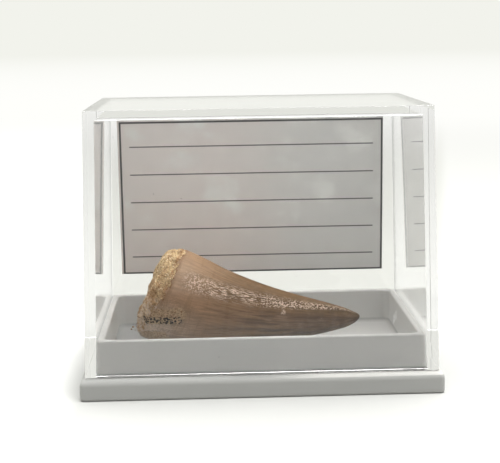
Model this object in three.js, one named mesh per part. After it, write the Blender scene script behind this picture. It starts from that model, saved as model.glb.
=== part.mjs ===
// A fossil marine reptile tooth in its small clear display box.
// Lengths are millimetres. X runs to the right, Y away from the viewer and Z up.
// The origin is the middle of the base's underside, and the box faces -Y.
import * as THREE from 'three';
import { LoftGeometry } from 'three/addons/geometries/LoftGeometry.js';

// Base: a moulded plinth with a shallow tray that the lid drops over
const BASE_WIDTH = 58;
const BASE_DEPTH = 39.3;
const BASE_CORNER = 1.3;
const PLINTH_HEIGHT = 3.5;
const PLINTH_EDGE = 0.55;
const FOOT_EDGE = 0.25;
const SKIRT_WALL = 1.3;
const RECESS_HEIGHT = 1.9;
const RECESS_FILLET = 0.5;
const RECESS_CORNER = 0.7;
const TRAY_RIM = 9.2;
const TRAY_WALL = 1.1;
const TRAY_FLOOR = 3.2;
const TRAY_EDGE = 0.3;
const TRAY_FILLET = 0.7;
const TRAY_OUTER_CORNER = 0.9;
const TRAY_INNER_CORNER = 1.3;

// Lid: a clear cover with a small moulding draft
const LID_TOP = 45.6;
const LID_WALL = 1.64;
const LID_ROOF = 1.5;
const LID_EDGE = 0.8;
const LID_FILLET = 0.6;
const LID_LEDGE = 0.87;
const LID_REST_GAP = 0.1;
const LID_TRAY_GAP = 0.12;
const LID_CORNER = 1.1;
const LID_INNER_CORNER = 0.8;
const DRAFT = THREE.MathUtils.degToRad(1.4);

// Label: a paper card glued inside the lid's back wall
const LABEL_WIDTH = 48.4;
const LABEL_HEIGHT = 28.5;
const LABEL_THICKNESS = 0.25;
const LABEL_BOTTOM = 13.1;
const LABEL_OFFSET = -0.25;
const LABEL_GLUE = 0.12;

// Tooth: matching points, X and Z, along its upper and lower edges from the broken end to the tip
const UPPER_EDGE = [
  [-14.9, 19.6], [-12.7, 20.35], [-9.3, 18.65], [-4.9, 16.3], [0.5, 13.95],
  [6, 12], [11.2, 10.45], [15.2, 9.1], [17.1, 8.3],
];
const LOWER_EDGE = [
  [-20.4, 5.7], [-18.1, 4.65], [-14.2, 3.8], [-8.2, 3.45], [-1.6, 3.45],
  [4.8, 3.75], [10.4, 4.5], [14.9, 5.45], [16.85, 6.25],
];
const TIP = [18.05, 7.45];
const TOOTH_DEPTH_PLACE = 1.6;
const TOOTH_SIDEWAYS_BEND = 1.3;
const TOOTH_FLATNESS = 0.8;
const TIP_FLATNESS = 0.95;
const EDGE_RIDGE = 0.16;
const FACET_DEPTH = 0.09;
const FACET_COUNT = 9;

// Root remnant: how far its rough band reaches along the stations, and how rough it is
const ROOT_REACH_TOP = 1.42;
const ROOT_REACH_SIDE = 0.9;
const ROOT_REACH_LOW = 0.12;
const ROOT_SUNK = 0.16;
const LUMP_HEIGHT = 0.3;
const END_BULGE = 1.75;
const END_HOLLOW = 1.2;

// A shallow crack along the front of the crown's foot
const CRACK_HEIGHT = 9.2;
const CRACK_HALF_WIDTH = 0.55;
const CRACK_START = -20;
const CRACK_END = -12.6;
const CRACK_DEPTH = 0.32;

// Mesh fineness
const CORNER_STEPS = 5;
const EDGE_STEPS = 3;
const TOOTH_SIDES = 60;
const FINE_STATIONS = 2;
const FINE_STEPS = 7;
const COARSE_STEPS = 4;
const END_RINGS = 10;
const TIP_RINGS = 4;

// A closed ring with rounded corners at height z, set in from the base's outline.
function ring({ inset, z, corner }) {
  const points = [];
  for (let quadrant = 0; quadrant < 4; quadrant++) {
    const centreX = (quadrant % 3 === 0 ? 1 : -1) * (BASE_WIDTH / 2 - inset - corner);
    const centreY = (quadrant < 2 ? 1 : -1) * (BASE_DEPTH / 2 - inset - corner);
    for (let step = 0; step <= CORNER_STEPS; step++) {
      const angle = (quadrant + step / CORNER_STEPS) * Math.PI / 2;
      const x = centreX + corner * Math.cos(angle);
      const y = centreY + corner * Math.sin(angle);
      points.push(new THREE.Vector3(x, y, z));
    }
  }
  return points;
}

// Profile points of a rounded edge or a fillet, between two angles in degrees.
function rounded(inset, z, radius, from, to, corner) {
  return Array.from({ length: EDGE_STEPS + 1 }, (_, step) => {
    const angle = THREE.MathUtils.degToRad(from + (to - from) * step / EDGE_STEPS);
    return { inset: inset + radius * Math.cos(angle), z: z + radius * Math.sin(angle), corner };
  });
}

// A moulded shape from its profile, closed at the middle of its first and last flat faces.
function moulding(profile) {
  const rings = profile.map(ring);
  const middle = ({ z }) => rings[0].map(() => new THREE.Vector3(0, 0, z));
  return new LoftGeometry([middle(profile[0]), ...rings, middle(profile.at(-1))]);
}

// How far the lid's outer wall stands in from the base's outline at height z.
function lidInset(z) {
  return LID_LEDGE + (z - PLINTH_HEIGHT) * Math.tan(DRAFT);
}

// From the underside's recess, down the skirt, up the plinth and the tray's rim, and down to its floor.
function baseGeometry() {
  const recessSide = SKIRT_WALL + RECESS_FILLET;
  const recessTurn = RECESS_HEIGHT - RECESS_FILLET;
  const trayFoot = lidInset(PLINTH_HEIGHT) + LID_WALL + LID_TRAY_GAP;
  const trayOuter = lidInset(TRAY_RIM) + LID_WALL + LID_TRAY_GAP;
  const trayInner = trayOuter + TRAY_WALL;
  return moulding([
    ...rounded(recessSide, recessTurn, RECESS_FILLET, 90, 180, RECESS_CORNER),
    { inset: SKIRT_WALL, z: 0, corner: RECESS_CORNER },
    ...rounded(FOOT_EDGE, FOOT_EDGE, FOOT_EDGE, -90, -180, BASE_CORNER),
    ...rounded(PLINTH_EDGE, PLINTH_HEIGHT - PLINTH_EDGE, PLINTH_EDGE, 180, 90, BASE_CORNER),
    { inset: trayFoot, z: PLINTH_HEIGHT, corner: TRAY_OUTER_CORNER },
    ...rounded(trayOuter + TRAY_EDGE, TRAY_RIM - TRAY_EDGE, TRAY_EDGE, 180, 90, TRAY_OUTER_CORNER),
    ...rounded(trayInner - TRAY_EDGE, TRAY_RIM - TRAY_EDGE, TRAY_EDGE, 90, 0, TRAY_INNER_CORNER),
    ...rounded(trayInner + TRAY_FILLET, TRAY_FLOOR + TRAY_FILLET, TRAY_FILLET, 180, 270, TRAY_INNER_CORNER),
  ]);
}

// From the roof's underside, down the inner wall, round the foot, and up the outer wall.
function lidGeometry() {
  const foot = PLINTH_HEIGHT + LID_REST_GAP;
  const ceiling = LID_TOP - LID_ROOF;
  const innerTop = lidInset(ceiling) + LID_WALL;
  const outerTop = lidInset(LID_TOP);
  return moulding([
    ...rounded(innerTop + LID_FILLET, ceiling - LID_FILLET, LID_FILLET, 90, 180, LID_INNER_CORNER),
    { inset: lidInset(foot) + LID_WALL, z: foot, corner: LID_INNER_CORNER },
    { inset: lidInset(foot), z: foot, corner: LID_CORNER },
    ...rounded(outerTop + LID_EDGE, LID_TOP - LID_EDGE, LID_EDGE, 180, 90, LID_CORNER),
  ]);
}

function labelGeometry() {
  const card = new THREE.Shape();
  card.moveTo(-LABEL_WIDTH / 2, 0);
  card.lineTo(LABEL_WIDTH / 2, 0);
  card.lineTo(LABEL_WIDTH / 2, LABEL_HEIGHT);
  card.lineTo(-LABEL_WIDTH / 2, LABEL_HEIGHT);
  return new THREE.ExtrudeGeometry(card, { depth: LABEL_THICKNESS, bevelEnabled: false });
}

const upperEdge = new THREE.SplineCurve(UPPER_EDGE.map(([x, z]) => new THREE.Vector2(x, z)));
const lowerEdge = new THREE.SplineCurve(LOWER_EDGE.map(([x, z]) => new THREE.Vector2(x, z)));
const LAST_STATION = UPPER_EDGE.length - 1;

// The middle of the section at a station, half its height as a vector, and half its thickness.
function sectionFrame(station) {
  const along = station / LAST_STATION;
  const upper = upperEdge.getPoint(along);
  const lower = lowerEdge.getPoint(along);
  const half = upper.clone().sub(lower).multiplyScalar(0.5);
  return {
    centre: new THREE.Vector3(
      (upper.x + lower.x) / 2,
      TOOTH_DEPTH_PLACE + TOOTH_SIDEWAYS_BEND * along * along,
      (upper.y + lower.y) / 2,
    ),
    up: new THREE.Vector3(half.x, 0, half.y),
    thick: half.length() * THREE.MathUtils.lerp(TOOTH_FLATNESS, TIP_FLATNESS, along ** 3),
  };
}

// The station that the rough root band reaches at an angle round the tooth; front angles face -Y.
function rootReach(angle) {
  const height = Math.sin(angle);
  const reach = THREE.MathUtils.lerp(ROOT_REACH_SIDE, ROOT_REACH_TOP, Math.max(height, 0));
  const front = THREE.MathUtils.smoothstep(-Math.cos(angle), -0.2, 0.3);
  const low = THREE.MathUtils.smoothstep(-height, 0.08, 0.4);
  return THREE.MathUtils.lerp(reach, ROOT_REACH_LOW, front * low) + 0.06 * Math.sin(5 * angle);
}

// Rounded lumps of two sizes, between plus and minus about their full height.
function lumps({ x, y, z }) {
  const broad = Math.sin(1.3 * x + 1.1 * y + 0.4 * z) * Math.sin(1.2 * z - 1.3 * y + 0.6);
  const small = Math.sin(2.3 * y + 1.4 * z) * Math.sin(2.2 * x - 1.5 * z + 1.1);
  return LUMP_HEIGHT * (broad + 0.7 * small);
}

function crack({ x, y, z }, centreY) {
  const along = THREE.MathUtils.smoothstep(x, CRACK_START, CRACK_START + 1)
    * (1 - THREE.MathUtils.smoothstep(x, CRACK_END - 1, CRACK_END));
  const across = Math.exp(-(((z - CRACK_HEIGHT) / CRACK_HALF_WIDTH) ** 2));
  const grains = 0.5 + 0.5 * Math.sin(5.2 * x + 2 * z);
  return y < centreY ? -CRACK_DEPTH * along * across * grains : 0;
}

// Height of the crown's low facets and its two cutting edges, in millimetres.
function crownRelief(angle, station) {
  const toEdge = Math.acos(Math.min(1, Math.abs(Math.sin(angle))));
  const ridge = EDGE_RIDGE * Math.exp(-((toEdge / 0.16) ** 2)) * (1 - station / LAST_STATION) ** 0.5;
  const facets = -FACET_DEPTH * Math.abs(Math.sin(FACET_COUNT * angle / 2));
  return ridge + facets * THREE.MathUtils.smoothstep(station, 1.5, 4);
}

// One closed ring of the tooth: a section shrunk to a share of its size and pushed along the axis.
function toothRing(station, share = 1, push = () => new THREE.Vector3()) {
  const { centre, up, thick } = sectionFrame(station);
  const points = [];
  for (let side = 0; side < TOOTH_SIDES; side++) {
    const angle = side / TOOTH_SIDES * 2 * Math.PI;
    const spoke = up.clone().multiplyScalar(Math.sin(angle));
    spoke.y += thick * Math.cos(angle);
    const skin = centre.clone().add(spoke);
    const root = 1 - THREE.MathUtils.smoothstep(station, rootReach(angle) - 0.12, rootReach(angle) + 0.06);
    const relief = crownRelief(angle, station) * (1 - root)
      + (lumps(skin) - ROOT_SUNK) * root + crack(skin, centre.y);
    spoke.setLength(spoke.length() + relief).multiplyScalar(share);
    const point = centre.clone().add(spoke);
    points.push(point.add(push(angle, point)));
  }
  return points;
}

// The broken end: a blunt dome with a worn hollow in its middle.
function endRing(index) {
  const share = Math.sin(index / END_RINGS * Math.PI / 2);
  const { up } = sectionFrame(0);
  const outwards = new THREE.Vector3(-up.z, 0, up.x).normalize();
  return toothRing(0, share, (angle, point) => {
    const dome = END_BULGE * (1 - share ** 4) * (1 - 0.6 * share * Math.sin(angle));
    const hollow = END_HOLLOW * Math.exp(-((share / 0.45) ** 2));
    const rough = lumps(point) * (1 - share ** 6);
    return outwards.clone().multiplyScalar(dome - hollow + rough);
  });
}

function tipRing(index) {
  const turn = (index + 1) / TIP_RINGS * Math.PI / 2;
  const { centre } = sectionFrame(LAST_STATION);
  const reach = new THREE.Vector3(TIP[0] - centre.x, 0, TIP[1] - centre.z);
  return toothRing(LAST_STATION, Math.cos(turn), () => reach.clone().multiplyScalar(Math.sin(turn)));
}

function toothGeometry() {
  const rings = [];
  for (let index = 0; index < END_RINGS; index++) rings.push(endRing(index));
  for (let step = 0; step < FINE_STATIONS * FINE_STEPS; step++) rings.push(toothRing(step / FINE_STEPS));
  const coarse = (LAST_STATION - FINE_STATIONS) * COARSE_STEPS;
  for (let step = 0; step <= coarse; step++) rings.push(toothRing(FINE_STATIONS + step / COARSE_STEPS));
  for (let index = 0; index < TIP_RINGS; index++) rings.push(tipRing(index));
  return new LoftGeometry(rings);
}

function piece(name, geometry, look) {
  const mesh = new THREE.Mesh(geometry, new THREE.MeshStandardMaterial({ metalness: 0, ...look }));
  mesh.name = name;
  return mesh;
}

const base = piece('base', baseGeometry(), { color: '#c6c6c4', roughness: 0.45 });
const lid = piece('lid', lidGeometry(), {
  color: '#f2f5f5', roughness: 0.05, transparent: true, opacity: 0.25,
});
const label = piece('label', labelGeometry(), { color: '#cfccca', roughness: 0.9 });
const backWall = BASE_DEPTH / 2 - lidInset(LABEL_BOTTOM) - LID_WALL;
label.position.set(LABEL_OFFSET, backWall - LABEL_GLUE, LABEL_BOTTOM);
label.rotation.x = Math.PI / 2 + DRAFT;
const tooth = piece('tooth', toothGeometry(), { color: '#94806b', roughness: 0.45 });

const displayBox = new THREE.Group();
displayBox.add(base, lid, label, tooth);

export default displayBox;
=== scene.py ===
# A fossil marine reptile tooth in its small clear display box.
# X runs to the right, Y away from the viewer and Z up. Lengths are metres, but the places and reaches
# of marks in the materials, and the crumbs, are given in millimetres.
import math

import bmesh
import bpy
import numpy as np
from mathutils import Matrix, Vector, noise


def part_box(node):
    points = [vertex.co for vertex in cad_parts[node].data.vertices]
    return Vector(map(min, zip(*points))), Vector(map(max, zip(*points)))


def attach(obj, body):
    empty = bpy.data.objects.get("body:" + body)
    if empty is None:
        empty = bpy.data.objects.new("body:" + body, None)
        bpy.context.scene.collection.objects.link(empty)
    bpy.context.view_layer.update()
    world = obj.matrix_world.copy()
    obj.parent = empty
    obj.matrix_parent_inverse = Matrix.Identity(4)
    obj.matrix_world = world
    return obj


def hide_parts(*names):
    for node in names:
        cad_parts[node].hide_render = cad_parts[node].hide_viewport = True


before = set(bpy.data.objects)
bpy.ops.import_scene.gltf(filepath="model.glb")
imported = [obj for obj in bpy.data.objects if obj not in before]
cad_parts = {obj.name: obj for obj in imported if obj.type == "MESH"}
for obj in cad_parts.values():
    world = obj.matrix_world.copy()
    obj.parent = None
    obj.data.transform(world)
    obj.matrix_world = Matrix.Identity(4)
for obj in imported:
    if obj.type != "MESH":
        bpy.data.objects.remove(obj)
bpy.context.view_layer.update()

# Camera
# A long lens, 18 cm in front of the box and 6 cm above the table.
# It looks down a little, slightly turned and tilted.
CAMERA_PLACE = Vector((-0.00757, -0.19879, 0.05765))
CAMERA_TURN = math.radians(1.862)
CAMERA_PITCH = math.radians(-9.777)
CAMERA_ROLL = math.radians(-0.856)
CAMERA_LENS = 84.77

scene = bpy.context.scene
camera = bpy.data.objects.new("camera", bpy.data.cameras.new("camera"))
camera.data.lens = CAMERA_LENS
camera.data.clip_start = 0.005
camera.matrix_world = (
    Matrix.Translation(CAMERA_PLACE)
    @ Matrix.Rotation(-CAMERA_TURN, 4, "Z")
    @ Matrix.Rotation(math.pi / 2 + CAMERA_PITCH, 4, "X")
    @ Matrix.Rotation(CAMERA_ROLL, 4, "Z")
)
scene.collection.objects.link(camera)
scene.camera = camera
scene.view_settings.view_transform = "Standard"
scene.cycles.max_bounces = 24
scene.cycles.transmission_bounces = 20
scene.cycles.glossy_bounces = 12
scene.cycles.diffuse_bounces = 5


# Studio
# A white table under soft lights, with white walls. Where it is seen straight, the table has painted
# light to the left of the box and a painted shadow right behind it. The room in front is dim, and its
# dimness shows in reflections and in the light alone, as a black card held beside the lens would give it.
TABLE_RADIUS = 6.0
TABLE_DROP = 0.00002
TABLE_WHITE = (0.46, 0.462, 0.448)
TABLE_SEEN = (0.49, 0.492, 0.478)
TABLE_PAINTED_LIGHT_LEFT = (0.76, 0.762, 0.748)
TABLE_PAINTED_SHADOW_BEHIND = (0.41, 0.412, 0.39)
TABLE_GLOW = (1.0, 1.0, 0.97)
TABLE_BARE = (0.09, 0.09, 0.088)
ROOM_LIGHT = (0.15, 0.15, 0.15)
WALL_LIGHT = (0.89, 0.895, 0.84)
CEILING_LIGHT = (2.3, 2.3, 2.27)
CEILING_START = 0.6
CEILING_END = 0.95
CEILING_TILT = 0.3
FRONT_START = -0.25
FRONT_END = -0.85
LEFT_START = -0.0285
LEFT_END = -0.034
SHADE_START = 0.02
SHADE_END = 0.06
SHADE_TURN = 0.05
SHADE_SPREAD = 0.15
SHADE_HALF_WIDTH = 0.035
FADE_START = 0.16
FADE_END = 0.6
FAR_START = 0.7
FAR_END = 3.0
FRONT_FADE = 3.0
SHEET_END = 0.05
SHEET_FADE = 0.095


class Field:
    """A number, colour or vector that varies in a node tree, held as one of its sockets."""

    def __init__(self, tree, socket=None):
        self.tree = tree
        self.socket = socket

    def add(self, kind, output=0, sockets=None, stops=None, **settings):
        """Adds a node of a kind, sets it up, fills or links its sockets and gives back one output."""
        node = self.tree.nodes.new(kind)
        for name, value in settings.items():
            setattr(node, name, value)
        for index, (position, colour) in enumerate(stops or []):
            ramp = node.color_ramp.elements
            stop = ramp[index] if index < 2 else ramp.new(position)
            stop.position = position
            stop.color = (*colour, 1)
        for key, value in (sockets or {}).items():
            if isinstance(value, Field):
                self.tree.links.new(value.socket, node.inputs[key])
            else:
                node.inputs[key].default_value = value
        return Field(self.tree, node.outputs[output]) if node.outputs else None

    def math(self, operation, *others):
        """One sum of this and other values."""
        values = dict(enumerate((self, *others)))
        return self.add("ShaderNodeMath", sockets=values, operation=operation)

    def __add__(self, other):
        return self.math("ADD", other)

    __radd__ = __add__

    def __sub__(self, other):
        return self.math("SUBTRACT", other)

    def __rsub__(self, other):
        return self.math("MULTIPLY_ADD", -1.0, other)

    def __mul__(self, other):
        return self.math("MULTIPLY", other)

    __rmul__ = __mul__

    def step(self, low, high):
        """0 below low and 1 above high, with a smooth rise between; low may be the larger."""
        rise = {"Value": self, "From Min": low, "From Max": high}
        return self.add("ShaderNodeMapRange", sockets=rise, interpolation_type="SMOOTHSTEP")

    def band(self, middle, half_width):
        """1 in the middle of a band, falling smoothly to 0 at its sides."""
        return (self - middle).math("ABSOLUTE").step(half_width, 0.0)

    def mix(self, first, second):
        """The first colour where this is 0 and the second where it is 1."""
        first, second = ((*c, 1) if isinstance(c, tuple) else c for c in (first, second))
        return self.add("ShaderNodeMix", 2, {0: self, 6: first, 7: second}, data_type="RGBA")

    def lit(self, factor):
        """This colour made lighter or darker by a varying number."""
        grey = self.add("ShaderNodeCombineXYZ", sockets={0: factor, 1: factor, 2: factor})
        return self.add("ShaderNodeVectorMath", sockets={0: self, 1: grey}, operation="MULTIPLY")

    def stretched(self, *factors):
        """This vector with each of its directions stretched by its own factor."""
        return self.add("ShaderNodeVectorMath", sockets={0: self, 1: factors}, operation="MULTIPLY")

    def part(self, index):
        """One of this vector's three numbers."""
        return self.add("ShaderNodeSeparateXYZ", index, {0: self})

    def in_mm(self):
        """This vector in millimetres instead of metres."""
        return self.stretched(1000, 1000, 1000)

    def near(self, place, reach):
        """1 round a place that this vector may be at, and 0 beyond its reach."""
        ends = {0: self, 1: place}
        distance = self.add("ShaderNodeVectorMath", "Value", ends, operation="DISTANCE")
        return distance.step(reach, 0.5 * reach)

    def noise(self, scale, detail=2.0, roughness=0.5, distortion=0.0):
        """Soft uneven noise between 0 and 1, at the places that this vector gives."""
        sockets = {"Vector": self, "Scale": scale, "Detail": detail,
                   "Roughness": roughness, "Distortion": distortion}
        return self.add("ShaderNodeTexNoise", 0, sockets)

    def cells(self, scale):
        """The distance to the nearest of points scattered through space."""
        return self.add("ShaderNodeTexVoronoi", "Distance", {"Vector": self, "Scale": scale})


def bounced(field):
    """1 for light that has been reflected or scattered on its way, and 0 for what is seen straight."""
    depths = [field.add("ShaderNodeLightPath", name) for name in ("Glossy Depth", "Diffuse Depth")]
    return (depths[0] + depths[1]).math("MINIMUM", 1.0)


def studio_light(field, towards):
    """The colour of the light from each level direction: bright, but dim from the room in front."""
    front = towards.part(1).step(FRONT_START, FRONT_END)
    return (front * bounced(field)).mix(WALL_LIGHT, ROOM_LIGHT)


world = bpy.data.worlds.new("studio")
world.use_nodes = True
world.node_tree.nodes.clear()
studio = Field(world.node_tree)
towards = studio.add("ShaderNodeTexCoord", "Generated")
upwards = (towards.part(2) + CEILING_TILT * towards.part(1)).step(CEILING_START, CEILING_END)
light = upwards.mix(studio_light(studio, towards), CEILING_LIGHT)
background = studio.add("ShaderNodeBackground", sockets={"Color": light})
studio.add("ShaderNodeOutputWorld", sockets={"Surface": background})
scene.world = world


def softbox(name, place, target, width, height, watts):
    """An oblong area light at a place, facing a target."""
    lamp = bpy.data.lights.new(name, "AREA")
    lamp.shape = "RECTANGLE"
    lamp.size = width
    lamp.size_y = height
    lamp.energy = watts
    light = bpy.data.objects.new(name, lamp)
    light.location = place
    light.rotation_euler = (Vector(target) - Vector(place)).to_track_quat("-Z", "Y").to_euler()
    scene.collection.objects.link(light)


softbox("front_softbox", (-0.06, -0.36, 0.44), (0, 0, 0.02), 0.3, 0.06, 0.35)
softbox("overhead_softbox", (0.12, -0.06, 0.54), (0, 0, 0.02), 0.4, 0.4, 3.6)


def new_material(name):
    """An empty material and the field that its nodes are added from."""
    material = bpy.data.materials.new(name)
    material.use_nodes = True
    material.node_tree.nodes.clear()
    return material, Field(material.node_tree)


def table_white():
    """White in its tones near the box, and far off the colour of the light, so that no edge shows."""
    material, field = new_material("table_white")
    place = field.add("ShaderNodeTexCoord", "Object")
    towards = place.add("ShaderNodeVectorMath", sockets={0: place}, operation="NORMALIZE")
    distance = place.add("ShaderNodeVectorMath", "Value", {0: place}, operation="LENGTH")
    before = towards.part(1).step(FRONT_START, FRONT_END)
    far = (distance * (1.0 + FRONT_FADE * before)).step(FADE_START, FADE_END)
    bare = (place.part(1) * -1.0).step(SHEET_END, SHEET_FADE)
    # Painted light: the table is seen brighter to the left of the box, where the box's shadow would fall.
    seen = place.part(0).step(LEFT_START, LEFT_END).mix(TABLE_SEEN, TABLE_PAINTED_LIGHT_LEFT)
    back = place.part(1)
    # Painted shadow: the table is seen greyer in a patch that widens right behind the box.
    aside = (place.part(0) - SHADE_TURN * back).math("ABSOLUTE") - SHADE_SPREAD * back
    shade = back.step(SHADE_START, SHADE_END)
    shade = shade * aside.step(SHADE_HALF_WIDTH, 0.8 * SHADE_HALF_WIDTH)
    seen = shade.mix(seen, TABLE_PAINTED_SHADOW_BEHIND)
    paper = bounced(field).mix(seen, bare.mix(TABLE_WHITE, TABLE_BARE))
    white = field.add("ShaderNodeBsdfDiffuse", sockets={"Color": paper})
    lit = (before * bounced(field)).math("MAXIMUM", distance.step(FAR_START, FAR_END))
    glow = lit.mix(TABLE_GLOW, studio_light(field, towards))
    glow = field.add("ShaderNodeEmission", sockets={"Color": glow})
    shader = field.add("ShaderNodeMixShader", sockets={0: far, 1: white, 2: glow})
    field.add("ShaderNodeOutputMaterial", sockets={"Surface": shader})
    return material


bpy.ops.mesh.primitive_circle_add(vertices=96, radius=TABLE_RADIUS, fill_type="NGON")
table = bpy.context.object
table.name = "table"
table.location.z = -TABLE_DROP
table.data.materials.append(table_white())


# Base
# A plinth with a shallow tray, moulded in one piece of pale grey plastic with a satin skin.
# Its underside is hollow, and it stands on a narrow skirt.
PLINTH_HEIGHT = 0.0035
PLINTH_EDGE = 0.0011
PLINTH_CORNER = 0.0007
FOOT_EDGE = 0.0004
SKIRT_WALL = 0.0013
RECESS_HEIGHT = 0.0019
RECESS_FILLET = 0.0005
RECESS_CORNER = 0.0007
TRAY_WALL = 0.0011
TRAY_FLOOR = 0.0032
TRAY_EDGE = 0.0003
TRAY_FILLET = 0.0007
TRAY_OUTER_CORNER = 0.0009
TRAY_INNER_CORNER = 0.0013
LEDGE = 0.00087
LID_WALL = 0.00164
LID_TRAY_GAP = 0.00012
DRAFT = math.radians(1.4)
CORNER_STEPS = 12
EDGE_STEPS = 8
FLAT_MARGIN = 0.00003
SHARP_ANGLE = math.radians(35)
GREY = (0.675, 0.667, 0.644)
PLINTH_SHADED_GREY = (0.385, 0.385, 0.372)
LEDGE_SHADE_LEFT = (0.36, 0.36, 0.348)
LEDGE_SHADE_RIGHT = (0.2, 0.2, 0.194)
LEDGE_SHADE_START = -18.0
LEDGE_SHADE_END = 16.0
GREY_WORN_AND_LIT = (0.78, 0.765, 0.73)
GREY_DUSTY = (0.43, 0.42, 0.4)
TICK_SHADE_DARK = (0.12, 0.12, 0.12)
HIGHLIGHT_PALE = (0.97, 0.97, 0.96)
HIGHLIGHT_PLACE = (25.1, 8.1, 5.8)
HIGHLIGHT_SLOPE = 0.49
HIGHLIGHT_HALF_WIDTH = 1.3
HIGHLIGHT_REACH = 3.4
SHADE_TICK_PLACE = (-25.6, -17.7, 3.5)
SHADE_TICK_REACH = 0.32
FLOOR_LIGHT_START = -2.0
FLOOR_LIGHT_END = 12.0

base_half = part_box("base")[1]
tray_rim = base_half.z


def lid_inset(height):
    """How far the lid's outer wall stands in from the base's outline."""
    return LEDGE + (height - PLINTH_HEIGHT) * math.tan(DRAFT)


def rounded(inset, height, radius, start, end, corner):
    """Profile points of a rounded edge or fillet between two angles, and one on each flat beside it."""
    angles = np.radians(np.linspace(start, end, EDGE_STEPS + 1))
    points = np.stack([inset + radius * np.cos(angles), height + radius * np.sin(angles)], 1)
    turn = FLAT_MARGIN * math.copysign(1, end - start)
    tangents = np.stack([-np.sin(angles), np.cos(angles)], 1) * turn
    points = np.vstack([points[0] - tangents[0], points, points[-1] + tangents[-1]])
    return [(x, z, corner) for x, z in points]


def outline(inset, height, corner):
    """A closed ring with rounded corners, set in from the base's outline."""
    points = []
    angles = np.radians(np.linspace(0, 90, CORNER_STEPS + 1))
    reach_x, reach_y = base_half.x - inset - corner, base_half.y - inset - corner
    for quadrant, (side_x, side_y) in enumerate([(1, 1), (-1, 1), (-1, -1), (1, -1)]):
        turn = quadrant * math.pi / 2
        centre = Vector((side_x * reach_x, side_y * reach_y, height))
        arc = [centre + corner * Vector((math.cos(a), math.sin(a), 0)) for a in angles + turn]
        before, after = Vector((0, -FLAT_MARGIN, 0)), Vector((-FLAT_MARGIN, 0, 0))
        before.rotate(Matrix.Rotation(turn, 3, "Z"))
        after.rotate(Matrix.Rotation(turn, 3, "Z"))
        points += [arc[0] + before, *arc, arc[-1] + after]
    return points


def new_piece(name, mesh_maker, *materials):
    """An object at the origin from a bmesh, its faces turned outwards and smooth up to sharp edges."""
    bmesh.ops.recalc_face_normals(mesh_maker, faces=mesh_maker.faces)
    mesh = bpy.data.meshes.new(name)
    mesh_maker.to_mesh(mesh)
    mesh_maker.free()
    mesh.polygons.foreach_set("use_smooth", [True] * len(mesh.polygons))
    mesh.set_sharp_from_angle(angle=SHARP_ANGLE)
    for material in materials:
        mesh.materials.append(material)
    piece = bpy.data.objects.new(name, mesh)
    scene.collection.objects.link(piece)
    return piece


def loft(maker, rings, first=None, last=None):
    """Skins closed rings of points in order, and closes both ends to a middle point."""
    rows = [[maker.verts.new(p) for p in ring] for ring in rings]
    for row, following in zip(rows, rows[1:]):
        for a, b, c, d in zip(row, row[1:] + row[:1], following[1:] + following[:1], following):
            maker.faces.new((a, b, c, d))
    for row, middle in ((rows[0], first), (rows[-1], last)):
        centre = maker.verts.new(middle or sum((v.co for v in row), Vector()) / len(row))
        for a, b in zip(row, row[1:] + row[:1]):
            maker.faces.new((a, b, centre))
    return rows


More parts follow.
